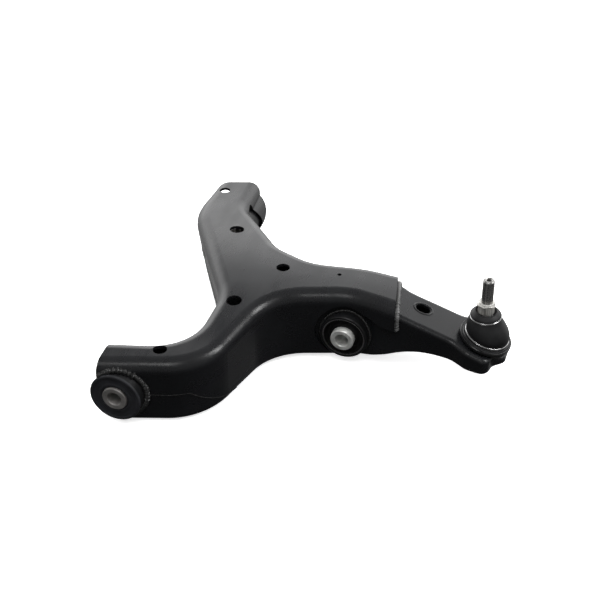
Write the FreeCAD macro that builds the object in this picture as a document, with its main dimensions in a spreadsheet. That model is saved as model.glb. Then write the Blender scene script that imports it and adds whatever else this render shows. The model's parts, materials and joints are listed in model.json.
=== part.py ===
"""Front lower control arm: a welded pressed-steel arm with three rubber bushes and a ball joint.

Frame: millimetres, +Z up, origin in the mouth of the front pivot bush, +Y along the pivot
axis towards the rear pivot bush, +X out towards the ball joint.
"""
import FreeCAD, Part
import Sketcher
import math
import os

from FreeCAD import Placement, Rotation, Vector

doc = FreeCAD.newDocument("ControlArm")

# ---------------------------------------------------------------- driving dimensions
DIMENSIONS = [
    ("wall", 3.2, "thickness of the pressed shells"),
    ("fillet_top", 14.0, "outside radius along the upper edges"),
    ("fillet_bottom", 7.0, "outside radius along the lower edges"),
    ("leg_end_x", -19.5, "inboard end of the front leg"),
    ("crown_low", 36.0, "height of the top over the two pivot legs"),
    ("crown_high", 47.0, "height of the top over the middle of the arm"),
    ("belly_front", -37.0, "underside at the front leg"),
    ("belly_rear", -31.0, "underside at the rear leg"),
    ("wall_tuck", 11.0, "how far the rear leg's inboard wall leans in from top to underside"),
    ("seam_height", -1.0, "parting line of the two shells along the pivot legs"),
    ("shell_end_x", 230.5, "outer end of the upper shell where it crosses the shell's middle"),
    ("arch_radius", 31.0, "cut-out of the upper shell over the strut bush"),
    ("shell_end_turn", -78.0, "direction of the upper shell's outer end, degrees"),
    ("extension_wall", 3.0, "thickness of the outer extension"),
    ("extension_rim", 5.0, "outside radius along the extension's upper rim"),
    ("deck_hole", 6.4, "half width of the oval hole in the extension"),
    ("deck_oval", 1.6, "how far that hole's ends stand from its middle"),
    ("side_hole", 5.0, "radius of the hole in the rear leg's inboard wall"),
    ("underside_hole", 9.0, "radius of the drain in the underside"),
    ("rear_top_hole", 6.2, "radius of the hole through the end of the rear leg"),
    ("weld_depth", 3.0, "height of the front tube's weld bead"),
    ("strut_weld_rise", 2.8, "height of the strut tube's weld bead"),
    ("extension_weld_rise", 2.2, "height of the weld bead on the extension"),
    ("bolt_bore", 7.1, "bore radius of every bush sleeve"),
    ("bush_sleeve", 13.0, "outside radius of the pivot bush inner sleeves"),
    ("running_gap", 0.05, "radial clearance between a turning piece and its seat"),
    ("front_tube", 26.0, "outside radius of the front housing tube"),
    ("front_tube_wall", 2.4, "wall of the front housing tube"),
    ("front_can", 1.6, "wall of the bush outer sleeve"),
    ("front_disc", 27.0, "radius of the rubber flange on the front bush"),
    ("front_disc_thick", 3.0, "thickness of that flange"),
    ("front_length", 48.0, "length of the front housing tube"),
    ("front_proud", 1.2, "how far the inner sleeve stands out of the flange"),
    ("rear_start", 322.0, "inner end of the rear housing tube"),
    ("rear_tube", 24.5, "outside radius of the rear housing tube"),
    ("rear_tube_wall", 2.4, "wall of the rear housing tube"),
    ("rear_length", 42.0, "length of the rear housing tube"),
    ("rear_disc_thick", 2.5, "thickness of the rear rubber flange"),
    ("strut_x", 183.5, "strut bush axis, X"),
    ("strut_z", -1.5, "strut bush axis, Z"),
    ("strut_face", 167.0, "near face of the strut bush tube"),
    ("strut_tube", 25.5, "outside radius of the strut bush tube"),
    ("strut_tube_wall", 2.6, "wall of the strut bush tube"),
    ("strut_can", 1.4, "wall of the strut bush outer sleeve"),
    ("strut_length", 72.0, "length of the strut bush tube"),
    ("strut_sleeve", 12.5, "outside radius of the strut bush inner sleeve"),
    ("strut_proud", 6.0, "how far that sleeve stands out of the tube"),
    ("ball_x", 325.0, "ball centre, X"),
    ("ball_y", 196.0, "ball centre, Y"),
    ("ball_z", 6.3, "ball centre, Z"),
    ("ball_radius", 12.5, "radius of the ball"),
    ("housing_lean", 17.0, "outward lean of the ball joint housing, degrees"),
    ("housing_radius", 19.5, "outside radius of the housing cup"),
    ("housing_flange", 27.6, "radius of the housing flange"),
    ("neck_radius", 6.5, "stud radius where it leaves the ball"),
    ("collar_radius", 8.0, "radius of the stud collar"),
    ("collar_low", 37.0, "collar underside above the ball centre"),
    ("collar_high", 49.8, "collar top above the ball centre"),
    ("stud_radius", 6.0, "radius of the threaded end"),
    ("stud_top", 76.8, "stud tip above the ball centre"),
    ("socket_radius", 2.9, "half the socket's width across corners"),
    ("socket_depth", 6.0, "depth of the socket in the stud tip"),
    ("ring_wire", 0.8, "wire radius of the boot clamp rings"),
    ("boot_base", 22.6, "boot radius at the lower clamp ring"),
    ("foot_height", 11.2, "lower clamp ring above the ball centre, along the housing axis"),
    ("boot_neck", 15.4, "boot radius at the upper clamp ring"),
    ("neck_height", 33.0, "upper clamp ring above the ball centre"),
]

sheet = doc.addObject("Spreadsheet::Sheet", "Dimensions")
DIM = {}
for row, (alias, number, note) in enumerate(DIMENSIONS, start=1):
    sheet.set("A%d" % row, alias)
    sheet.set("B%d" % row, str(number))
    sheet.set("C%d" % row, note)
    sheet.setAlias("B%d" % row, alias)
doc.recompute()
for alias, number, note in DIMENSIONS:
    DIM[alias] = float(getattr(sheet, alias))

SUBPARTS = []


def amount(text):
    """The number that a sum of sheet names and plain numbers comes to."""
    total = 0.0
    sign = 1.0
    for word in text.split():
        if word in ("+", "-"):
            sign = 1.0 if word == "+" else -1.0
        else:
            total += sign * (DIM[word] if word in DIM else float(word))
            sign = 1.0
    return total


def formula(text):
    """The same sum as an expression on the sheet's cells."""
    return " ".join("Dimensions." + w if w in DIM else w for w in text.split())


def keep(part, label, placement=None):
    """Register a finished sub-part under its node name."""
    part.Label = label
    if placement is not None:
        part.Placement = placement
    SUBPARTS.append(part)
    return part


def origin_plane(body, role):
    for feature in body.Origin.OriginFeatures:
        if feature.Role == role:
            return feature
    raise RuntimeError("no " + role)


def turned(label, profile, placement):
    """A body turned about its own Z axis; the profile lists (radius, height) sums."""
    body = doc.addObject("PartDesign::Body", label + "_body")
    sketch = body.newObject("Sketcher::SketchObject", label + "_profile")
    sketch.AttachmentSupport = [(origin_plane(body, "XZ_Plane"), "")]
    sketch.MapMode = "FlatFace"
    spots = [Vector(amount(r), amount(z), 0) for r, z in profile]
    count = len(spots)
    for i in range(count):
        sketch.addGeometry(Part.LineSegment(spots[i], spots[(i + 1) % count]), False)
    for i in range(count):
        sketch.addConstraint(Sketcher.Constraint("Coincident", i, 2, (i + 1) % count, 1))
    for i, (r, z) in enumerate(profile):
        for kind, text, axis in (("DistanceX", r, -2), ("DistanceY", z, -1)):
            number = amount(text)
            if abs(number) < 1e-9:
                sketch.addConstraint(Sketcher.Constraint("PointOnObject", i, 1, axis))
                continue
            index = sketch.addConstraint(Sketcher.Constraint(kind, -1, 1, i, 1, number))
            sketch.setExpression("Constraints[%d]" % index, formula(text))
    turn = body.newObject("PartDesign::Revolution", label + "_turn")
    turn.Profile = sketch
    turn.ReferenceAxis = (sketch, ["V_Axis"])
    turn.Angle = 360.0
    return keep(body, label, placement)


ALONG_Y = Rotation(Vector(1, 0, 0), -90)


def along_y(x, y, z):
    """Placement that lays a turned body's axis along +Y with its base at the point."""
    return Placement(Vector(x, y, z), ALONG_Y)


# ---------------------------------------------------------------- outline helpers
def rounded_loop(corners):
    """Closed wire in the XY plane through (x, y, radius) corners, each with a tangent arc."""
    edges = []
    count = len(corners)
    ends = []
    for i in range(count):
        before = Vector(corners[i - 1][0], corners[i - 1][1], 0)
        here = Vector(corners[i][0], corners[i][1], 0)
        after = Vector(corners[(i + 1) % count][0], corners[(i + 1) % count][1], 0)
        radius = corners[i][2]
        to_before = (before - here).normalize()
        to_after = (after - here).normalize()
        half = to_before.getAngle(to_after) / 2.0
        if radius <= 0:
            ends.append((here, here, here))
            continue
        reach = radius / math.tan(half)
        start = here + to_before * reach
        finish = here + to_after * reach
        bisector = (to_before + to_after).normalize()
        middle = here + bisector * (radius / math.sin(half) - radius)
        ends.append((start, middle, finish))
    for i in range(count):
        start, middle, finish = ends[i]
        if (finish - start).Length > 1e-6:
            edges.append(Part.Arc(start, middle, finish).toShape())
        follow = ends[(i + 1) % count][0]
        if (follow - finish).Length > 1e-6:
            edges.append(Part.LineSegment(finish, follow).toShape())
    return Part.Wire(edges)


def upright(corners, inset, low=-80.0, high=120.0):
    """Prism of a plan outline, drawn in by inset."""
    face = Part.Face(rounded_loop(corners))
    if inset:
        face = face.makeOffset2D(-inset, 0, False, False, False)
    face.translate(Vector(0, 0, low))
    return face.extrude(Vector(0, 0, high - low))


def side_slab_y(corners, start=-100.0, length=620.0):
    """Prism along Y of an (x, z) outline."""
    face = Part.Face(rounded_loop(corners))
    face.rotate(Vector(), Vector(1, 0, 0), 90)
    face.translate(Vector(0, start, 0))
    return face.extrude(Vector(0, length, 0))


def spline_band(top, bottom):
    """Face in the XY plane between two smooth curves through (distance, height) points."""
    upper = Part.BSplineCurve()
    upper.interpolate([Vector(a, b, 0) for a, b in top])
    under = Part.BSplineCurve()
    under.interpolate([Vector(a, b, 0) for a, b in bottom])
    far = Part.LineSegment(upper.EndPoint, under.EndPoint)
    near = Part.LineSegment(under.StartPoint, upper.StartPoint)
    return Part.Face(Part.Wire([upper.toShape(), far.toShape(), under.toShape(), near.toShape()]))


def band_along_x(top, bottom, start=-100.0, length=560.0):
    """Prism along X between a top and a bottom curve given as (y, z)."""
    face = spline_band(top, bottom)
    face.rotate(Vector(), Vector(1, 1, 1), 120)
    face.translate(Vector(start, 0, 0))
    return face.extrude(Vector(length, 0, 0))


def band_along_y(top, bottom, start=100.0, length=200.0):
    """Prism along Y between a top and a bottom curve given as (x, z)."""
    face = spline_band(top, bottom)
    face.rotate(Vector(), Vector(1, 0, 0), 90)
    face.translate(Vector(0, start, 0))
    return face.extrude(Vector(0, length, 0))


def rod(radius, start, finish):
    line = finish - start
    return Part.makeCylinder(radius, line.Length, start, line)


def round_edges(solid, radius, chosen):
    """Fillet every sharp edge whose middle point passes the test."""
    edges = []
    for edge in solid.Edges:
        sides = solid.ancestorsOfType(edge, Part.Face)
        if len(sides) != 2:
            continue
        middle = edge.valueAt((edge.FirstParameter + edge.LastParameter) / 2.0)
        normals = [side.normalAt(*side.Surface.parameter(middle)) for side in sides]
        if math.degrees(normals[0].getAngle(normals[1])) > 20.0 and chosen(middle, edge):
            edges.append(edge)
    return solid.makeFillet(radius, edges)


def largest(shape):
    return max(shape.Solids, key=lambda s: s.Volume)


# ---------------------------------------------------------------- arm shells
# How much of the drop an inside fillet's radius loses.
FILLET_SHARE = 0.9

# Plan outline of the pressed body at its top: x, y, corner radius and share of the wall's lean.
ARM_PLAN = [
    (-60.0, -8.3, 0, 0),
    (83.0, 31.8, 68, 0),
    (111.5, 152.0, 62, 0),
    (186.0, 177.0, 60, 0),
    (260.0, 162.5, 0, 0),
    (260.0, 229.0, 0, 0),
    (190.0, 236.5, 120, 0),
    (130.0, 227.5, 60, 0),
    (86.0, 246.0, 50, 0),
    (22.0, 319.5, 40, 0),
    (14.5, 430.0, 0, 0),
    (-34.5, 430.0, 0, 1),
    (-33.0, 292.0, 100, 1),
    (57.0, 142.0, 60, 0.6),
    (55.5, 62.0, 54, 0),
    (-60.0, 33.0, 0, 0),
]


def plan_solid(drop):
    """Prism of the plan outline with its leaning wall, drawn in by drop."""
    top = DIM["crown_low"]
    depth = top - DIM["belly_rear"]
    wires = []
    for height in (-80.0, 80.0):
        shift = DIM["wall_tuck"] * (top - height) / depth
        corners = [(x + shift * share, y, radius) for x, y, radius, share in ARM_PLAN]
        face = Part.Face(rounded_loop(corners))
        if drop:
            face = face.makeOffset2D(-drop, 0, False, False, False)
        face.translate(Vector(0, 0, height))
        wires.append(face.OuterWire)
    return Part.makeLoft(wires, True, True)


def crown_solid(drop):
    """Height band of the pressed body, drawn in by drop above and below."""
    low = DIM["crown_low"] - drop
    high = DIM["crown_high"] - drop
    under = DIM["belly_rear"] + drop
    top = [
        (-60.0, low), (10.0, low), (35.0, low + 2.0), (60.0, low + 3.0), (110.0, high - 3.5), (155.0, high),
        (210.0, high + 0.5), (260.0, high - 2.5), (310.0, low + 3.5), (360.0, low), (470.0, low - 1.0),
    ]
    bottom = [
        (-60.0, DIM["belly_front"] - 1.0 + drop), (5.0, DIM["belly_front"] + 0.5 + drop),
        (30.0, under - 3.0), (60.0, under - 1.0), (150.0, under - 1.0), (300.0, under - 1.0),
        (470.0, under),
    ]
    return band_along_x(top, bottom)


def body_solid(drop):
    """Pressed body before hollowing: plan outline, crowned top, rounded edges."""
    solid = largest(plan_solid(drop).common(crown_solid(drop)))

    def in_reach(point, edge):
        return edge.BoundBox.ZLength < 20.0 and -59.0 < point.x < 259.0 and point.y < 429.0

    def upper(point, edge):
        return point.z > 26.0 and in_reach(point, edge)

    def lower(point, edge):
        return point.z < -20.0 and in_reach(point, edge)

    solid = round_edges(solid, DIM["fillet_top"] - drop * FILLET_SHARE, upper)
    return round_edges(solid, DIM["fillet_bottom"] - drop * FILLET_SHARE, lower)


outer = body_solid(0.0)
inner = body_solid(DIM["wall"])

# The side wall of the rear leg swells round its housing tube.
swell_radius = DIM["rear_tube"] + DIM["wall"]
swell = rod(swell_radius, Vector(0, 344, 0), Vector(0, 400, 0))
swell = swell.fuse(Part.makeCone(18.0, swell_radius, 16.0, Vector(0, 328, 0), Vector(0, 1, 0)))
swell_room = rod(DIM["rear_tube"], Vector(0, 345, 0), Vector(0, 401, 0))
swell_room = swell_room.fuse(
    Part.makeCone(15.0, DIM["rear_tube"], 15.5, Vector(0, 329.5, 0), Vector(0, 1, 0)))
hollow = outer.fuse(swell).cut(inner.fuse(swell_room))


def open_end(width, tilt, turn, spot):
    """Block beyond an open end of a leg; its near face leans by tilt and turns by turn degrees."""
    block = Part.makeBox(width, 140, 300, Vector(-width / 2.0, 0, -150))
    block.rotate(Vector(), Vector(1, 0, 0), tilt)
    block.rotate(Vector(), Vector(0, 0, 1), turn)
    block.translate(spot)
    return block


# Open ends of the three legs.
SHELL_END = Vector(DIM["shell_end_x"], 200.0, 0)
REAR_END = Vector(-8.0, 371.5, DIM["crown_low"])
REAR_END_TILT = -22.8
REAR_END_TURN = 19.5
hollow = hollow.cut(Part.makeBox(80, 200, 200, Vector(DIM["leg_end_x"] - 80, -60, -100)))
front_notch = side_slab_y([
    (-60.0, -6.0, 0), (DIM["leg_end_x"] - 2.0, -6.0, 0), (6.0, -48.0, 0), (-60.0, -48.0, 0)])
hollow = hollow.cut(front_notch)
hollow = hollow.cut(open_end(200.0, REAR_END_TILT, REAR_END_TURN, REAR_END))
hollow = hollow.cut(open_end(160.0, 0.0, DIM["shell_end_turn"], SHELL_END))

# Window in the outer side wall of the rear leg.
window = Part.Face(rounded_loop([
    (316.0, 25.0, 5), (338.0, 30.0, 4), (355.0, -1.0, 4), (358.0, -16.0, 5), (316.0, -16.0, 5)]))
window.rotate(Vector(), Vector(1, 1, 1), 120)
window = window.extrude(Vector(60, 0, 0))
window.translate(Vector(10, 0, 0))
hollow = hollow.cut(window)

# Drain and tooling holes: x, y, radius, and the heights between which each is cut.
HOLES = [
    (32.8, 41.9, 7.2, 20, 70), (76.7, 132.4, 8.0, 20, 70), (106.0, 201.7, 7.2, 20, 70),
    (32.0, 261.0, 8.0, 20, 70), (166.3, 207.9, 2.3, 20, 70),
    (-15.3, 347.0, DIM["rear_top_hole"], 20, 70), (-15.3, 347.0, DIM["rear_top_hole"], -60, 0),
    (60.0, 190.0, DIM["underside_hole"], -60, 0),
]
for x, y, radius, low, high in HOLES:
    hollow = hollow.cut(rod(radius, Vector(x, y, low), Vector(x, y, high)))
hollow = hollow.cut(rod(DIM["side_hole"], Vector(-14.0, 229.6, 20.0), Vector(18.0, 248.8, 20.0)))

# Housing tubes pass through the walls.
front_core = rod(DIM["front_tube"], Vector(0, -20, 0), Vector(0, 90, 0))
rear_core = rod(DIM["rear_tube"], Vector(0, DIM["rear_start"], 0), Vector(0, 440, 0))
strut_core = rod(
    DIM["strut_tube"],
    Vector(DIM["strut_x"], 120, DIM["strut_z"]), Vector(DIM["strut_x"], 280, DIM["strut_z"]))
hollow = hollow.cut(front_core).cut(rear_core).cut(strut_core)

# Below this line the pressing is the lower shell.
seam = DIM["seam_height"]
lower_end = DIM["strut_x"] - 5.5
below_seam = side_slab_y([
    (-120.0, seam, 0), (70.0, seam, 20), (98.0, -27.5, 12), (lower_end, -27.5, 0),
    (lower_end, -90.0, 0), (-120.0, -90.0, 0)])
beyond = Part.makeBox(200, 620, 72.5, Vector(lower_end, -100, -100))
lower_pressing = hollow.common(below_seam)
upper_pressing = hollow.cut(below_seam).cut(beyond)

# The upper shell is cut back in an arch over the strut bush and on to its outer end.
arch = rod(
    DIM["arch_radius"],
    Vector(DIM["strut_x"], 120, DIM["strut_z"] + 3), Vector(DIM["strut_x"], 290, DIM["strut_z"] + 3))
skirt = side_slab_y([
    (lower_end, -60.0, 0), (lower_end, 10.0, 0), (204.0, 27.0, 5), (222.0, 18.5, 5),
    (262.0, 18.5, 0), (262.0, -60.0, 0)], 120.0, 170.0)
upper_pressing = upper_pressing.cut(arch).cut(skirt)


# ---------------------------------------------------------------- outer extension
EXTENSION_PLAN = [
    (136.0, 164.9, 0),
    (186.0, 181.2, 60),
    (229.0, 172.9, 30),
    (297.0, 171.0, 30),
    (313.0, 163.5, 14),
    (336.0, 161.5, 8),
    (339.5, 176.5, 5),
    (351.0, 182.0, 7),
    (351.0, 210.0, 7),
    (339.5, 215.5, 5),
    (336.0, 230.5, 8),
    (313.0, 228.5, 14),
    (297.0, 221.0, 30),
    (240.0, 222.5, 20),
    (222.0, 226.8, 20),
    (160.0, 223.6, 60),
    (136.0, 226.6, 0),
]


DECK_START = 238.0
DECK_TOP = 35.0
DECK_SLOPE = 0.3


def deck_height(x):
    """Top of the extension beyond the upper shell."""
    return DECK_TOP - DECK_SLOPE * (x - DECK_START)


def extension_band(drop):
    """Side shape of the extension, drawn in by drop above and below."""
    top = [
        (120.0, 43.4 - drop), (190.0, 43.4 - drop), (220.0, 41.0 - drop),
        (DECK_START, deck_height(DECK_START) - drop), (270.0, deck_height(270.0) - drop),
        (310.0, deck_height(310.0) - drop), (380.0, deck_height(380.0) - drop),
    ]
    bottom = [
        (120.0, -29.0 + drop), (184.0, -28.5 + drop), (212.0, -24.0 + drop), (244.0, -10.0 + drop),
        (268.0, -4.5 + drop),
    ]
    if drop:
        bottom += [(283.0, -5.0), (300.0, -17.0), (340.0, -28.0), (380.0, -32.0)]
    else:
        bottom += [
            (290.0, -5.0), (309.0, -7.5), (322.0, -9.5), (338.0, -8.5), (347.0, -6.0), (380.0, -11.0)]
    return band_along_y(top, bottom)


def extension_solid(drop):
    """Extension before hollowing, with its upper rim rounded."""
    solid = largest(upright(EXTENSION_PLAN, drop).common(extension_band(drop)))

    def rim(point, edge):
        if point.x < 137.0 + drop or point.x > 350.0:
            return False
        top = deck_height(point.x) if point.x > DECK_START else 43.4
        return abs(point.z - (top - drop)) < 5.0 and edge.BoundBox.YLength < 24.0

    return round_edges(solid, DIM["extension_rim"] - drop * FILLET_SHARE, rim)


ext_outer = extension_solid(0.0)
ext_inner = extension_solid(DIM["extension_wall"])
extension = ext_outer.cut(ext_inner)
extension = extension.cut(Part.makeBox(24, 200, 200, Vector(120.0, 100, -100)))
extension = extension.cut(strut_core)

# Oval hole with a dished rim in the sloping deck.
deck_normal = Vector(DECK_SLOPE, 0, 1).normalize()
for shift in (-DIM["deck_oval"], 0.0, DIM["deck_oval"]):
    spot = Vector(259.0 + shift, 202.0, deck_height(259.0 + shift))
    extension = extension.cut(
        rod(DIM["deck_hole"], spot - deck_normal * 12.0, spot + deck_normal * 12.0))

ball = Vector(DIM["ball_x"], DIM["ball_y"], DIM["ball_z"])
lean = math.radians(DIM["housing_lean"])
housing_axis = Vector(math.sin(lean), 0, math.cos(lean))
housing_turn = Rotation(Vector(0, 1, 0), DIM["housing_lean"])
housing_core = rod(DIM["housing_radius"], ball - housing_axis * 60, ball + housing_axis * 60)
extension = extension.cut(housing_core)

flange_seat = rod(DIM["housing_flange"] + 0.2, ball + housing_axis * 4.0, ball + housing_axis * 30)
extension = extension.cut(flange_seat)

upper_shell = doc.addObject("Part::Feature", "upper_shell")
upper_shell.Shape = largest(upper_pressing.cut(ext_outer)).removeSplitter()
keep(upper_shell, "upper_shell")

lower_shell = doc.addObject("Part::Feature", "lower_shell")
lower_shell.Shape = largest(lower_pressing.cut(ext_outer)).removeSplitter()
keep(lower_shell, "lower_shell")

outer_extension = doc.addObject("Part::Feature", "outer_extension")
outer_extension.Shape = largest(extension)
keep(outer_extension, "outer_extension")


# ---------------------------------------------------------------- bushes
def pivot_bush(name, base, tube, tube_wall, can, length, disc, disc_thick, proud, facing):
    """Tube, outer sleeve, rubber and inner sleeve of one pivot bush; z = 0 is the flange face."""
    spot = Placement(base, facing)
    turned(name + "_tube", [
        (tube + " - " + tube_wall, disc_thick), (tube, disc_thick),
        (tube, disc_thick + " + " + length), (tube + " - " + tube_wall, disc_thick + " + " + length),
    ], spot)
    inside = tube + " - " + tube_wall
    turned(name + "_outer_sleeve", [
        (inside + " - " + can, disc_thick), (inside, disc_thick),
        (inside, disc_thick + " + " + length + " - 2.0"),
        (inside + " - " + can, disc_thick + " + " + length + " - 2.0"),
    ], spot)
    seat = "bush_sleeve + running_gap"
    wide = inside + " - " + can
    end = disc_thick + " + " + length
    turned(name + "_rubber", [
        (seat, "0.9"), (seat + " + 2.0", "0.0"), (disc + " - 3.5", "0.0"), (disc, "1.2"),
        (disc, disc_thick), (wide, disc_thick), (wide, end + " - 4.0"),
        (wide + " - 3.0", end + " - 9.0"), (seat + " + 2.5", end + " - 9.0"), (seat, end + " - 3.0"),
    ], spot)
    turned(name + "_inner_sleeve", [
        ("bolt_bore + 0.8", "0.0 - " + proud), ("bush_sleeve - 0.8", "0.0 - " + proud),
        ("bush_sleeve", "0.8 - " + proud), ("bush_sleeve", end + " + 0.4"),
        ("bush_sleeve - 0.8", end + " + 1.2"), ("bolt_bore + 0.8", end + " + 1.2"),
        ("bolt_bore", end + " + 0.4"), ("bolt_bore", "0.8 - " + proud),
    ], spot)


pivot_bush("front", Vector(0, 0, 0), "front_tube", "front_tube_wall", "front_can",
           "front_length", "front_disc", "front_disc_thick", "front_proud", ALONG_Y)
rear_face = DIM["rear_start"] + DIM["rear_length"] + DIM["rear_disc_thick"]
pivot_bush("rear", Vector(0, rear_face, 0), "rear_tube", "rear_tube_wall", "front_can",
           "rear_length", "rear_tube", "rear_disc_thick", "front_proud",
           Rotation(Vector(1, 0, 0), 90))

strut_spot = along_y(DIM["strut_x"], DIM["strut_face"], DIM["strut_z"])
turned("strut_tube", [
    ("strut_tube - strut_tube_wall", "0.0"), ("strut_tube - 0.8", "0.0"), ("strut_tube", "0.8"),
    ("strut_tube", "strut_length"), ("strut_tube - strut_tube_wall", "strut_length"),
], strut_spot)
turned("strut_outer_sleeve", [
    ("strut_tube - strut_tube_wall - strut_can", "0.6"), ("strut_tube - strut_tube_wall", "0.6"),
    ("strut_tube - strut_tube_wall", "strut_length - 0.6"),
    ("strut_tube - strut_tube_wall - strut_can", "strut_length - 0.6"),
], strut_spot)
turned("strut_rubber", [
    ("strut_sleeve + running_gap", "1.0"), ("strut_sleeve + 1.2", "3.0"),
    ("strut_sleeve + 3.2", "6.5"), ("strut_tube - strut_tube_wall - strut_can - 1.5", "6.0"),
    ("strut_tube - strut_tube_wall - strut_can", "2.5"),
    ("strut_tube - strut_tube_wall - strut_can", "strut_length - 2.5"),
    ("strut_tube - strut_tube_wall - strut_can - 1.5", "strut_length - 6.0"),
    ("strut_sleeve + 3.2", "strut_length - 6.5"), ("strut_sleeve + 1.2", "strut_length - 3.0"),
    ("strut_sleeve + running_gap", "strut_length - 1.0"),
], strut_spot)
turned("strut_inner_sleeve", [
    ("bolt_bore + 0.8", "0.0 - strut_proud"), ("strut_sleeve - 1.0", "0.0 - strut_proud"),
    ("strut_sleeve", "1.0 - strut_proud"), ("strut_sleeve", "strut_length + strut_proud - 1.0"),
    ("strut_sleeve - 1.0", "strut_length + strut_proud"),
    ("bolt_bore + 0.8", "strut_length + strut_proud"),
    ("bolt_bore", "strut_length + strut_proud - 0.8"), ("bolt_bore", "0.8 - strut_proud"),
], strut_spot)

# ---------------------------------------------------------------- ball joint
housing_spot = Placement(ball, housing_turn)


def primitive(kind, name, placement=None, **sizes):
    item = doc.addObject(kind, name)
    for prop, text in sizes.items():
        item.setExpression(prop, formula(text))
    if placement is not None:
        item.Placement = placement
    return item


def boolean(kind, name, base, tool):
    item = doc.addObject(kind, name)
    item.Base = base
    item.Tool = tool
    return item


# Housing: a cup with a flange on top and a sphere-and-cone cavity for the race.
turned("ball_joint_housing", [
    ("15.6", "-14.6"), ("housing_radius - 2.0", "-14.6"), ("housing_radius", "-12.6"),
    ("housing_radius", "4.0"), ("housing_flange - 1.0", "4.0"), ("housing_flange", "5.0"),
    ("housing_flange", "7.4"), ("housing_flange - 1.0", "8.4"), ("25.8", "8.4"),
    ("25.0", "9.6"), ("17.2", "9.6"), ("16.6", "9.0"), ("16.6", "8.0"), ("15.6", "7.0"),
], housing_spot)
turned("housing_cap", [
    ("0.0", "-16.6"), ("12.0", "-16.6"), ("15.5", "-15.0"), ("15.5", "-12.6"), ("0.0", "-12.6"),
], housing_spot)

# Race: cylinder with a spherical seat, open at the top.
race_blank = primitive("Part::Cylinder", "race_blank", Placement(Vector(0, 0, -12.5), Rotation()),
                       Radius="15.5", Height="19.0")
race_seat = primitive("Part::Sphere", "race_seat", Placement(), Radius="ball_radius + 0.9")
race_mouth = primitive("Part::Cone", "race_mouth", Placement(Vector(0, 0, 4.6), Rotation()),
                       Radius1="ball_radius + 0.1", Radius2="ball_radius + 1.7", Height="3.0")
race_open = boolean("Part::Cut", "race_open", race_blank, race_seat)
race = boolean("Part::Cut", "race_cut", race_open, race_mouth)
keep(race, "ball_race", housing_spot)

# Floating liner: a thin spherical shell between ball and race.
liner_out = primitive("Part::Sphere", "liner_out", Placement(), Radius="ball_radius + 0.85")
liner_in = primitive("Part::Sphere", "liner_in", Placement(), Radius="ball_radius + 0.05")
liner_shell = boolean("Part::Cut", "liner_shell", liner_out, liner_in)
liner_band = primitive("Part::Cylinder", "liner_band", Placement(Vector(0, 0, -8.5), Rotation()),
                       Radius="ball_radius + 5.0", Height="10.5")
liner = doc.addObject("Part::Common", "liner_common")
liner.Base = liner_shell
liner.Tool = liner_band
keep(liner, "ball_liner", housing_spot)

# Stud: ball, tapered neck, collar, threaded end with a socket in its tip.
stud_ball = primitive("Part::Sphere", "stud_ball", Placement(), Radius="ball_radius")
stud_neck = primitive("Part::Cone", "stud_neck", Placement(Vector(0, 0, 8), Rotation()),
                      Radius1="neck_radius", Radius2="collar_radius - 0.4", Height="collar_low - 8.0")
stud_collar = primitive("Part::Cylinder", "stud_collar", None,
                        Radius="collar_radius", Height="collar_high - collar_low")
stud_collar.Placement = Placement(Vector(0, 0, DIM["collar_low"]), Rotation())
stud_step = primitive("Part::Cone", "stud_step", None, Radius1="collar_radius",
                      Radius2="stud_radius - 0.3", Height="1.6")
stud_step.Placement = Placement(Vector(0, 0, DIM["collar_high"]), Rotation())
stud_shank = primitive("Part::Cylinder", "stud_shank", None,
                       Radius="stud_radius", Height="stud_top - collar_high - 2.4")
stud_shank.Placement = Placement(Vector(0, 0, DIM["collar_high"] + 1.2), Rotation())
stud_tip = primitive("Part::Cone", "stud_tip", None, Radius1="stud_radius",
                     Radius2="stud_radius - 1.2", Height="1.2")
stud_tip.Placement = Placement(Vector(0, 0, DIM["stud_top"] - 1.2), Rotation())
stud_whole = doc.addObject("Part::MultiFuse", "stud_whole")
stud_whole.Shapes = [stud_ball, stud_neck, stud_collar, stud_step, stud_shank, stud_tip]
stud_socket = primitive("Part::Prism", "stud_socket", None,
                        Circumradius="socket_radius", Height="socket_depth + 1.0")
stud_socket.Polygon = 6
stud_socket.Placement = Placement(Vector(0, 0, DIM["stud_top"] - DIM["socket_depth"]), Rotation())
stud = boolean("Part::Cut", "stud_cut", stud_whole, stud_socket)
keep(stud, "ball_stud", Placement(ball, Rotation()))

# Boot: a plain closed ring of the true outer shape, from the housing up to the neck ring.
boot_foot = ball + housing_axis * DIM["foot_height"]
boot_head = ball + Vector(0, 0, DIM["neck_height"])


def slanted_circle(radius, centre, axis):
    return Part.Wire(Part.makeCircle(radius, centre, axis))


def soft_tube(sections):
    return Part.makeLoft([slanted_circle(*s) for s in sections], True, False)


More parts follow.
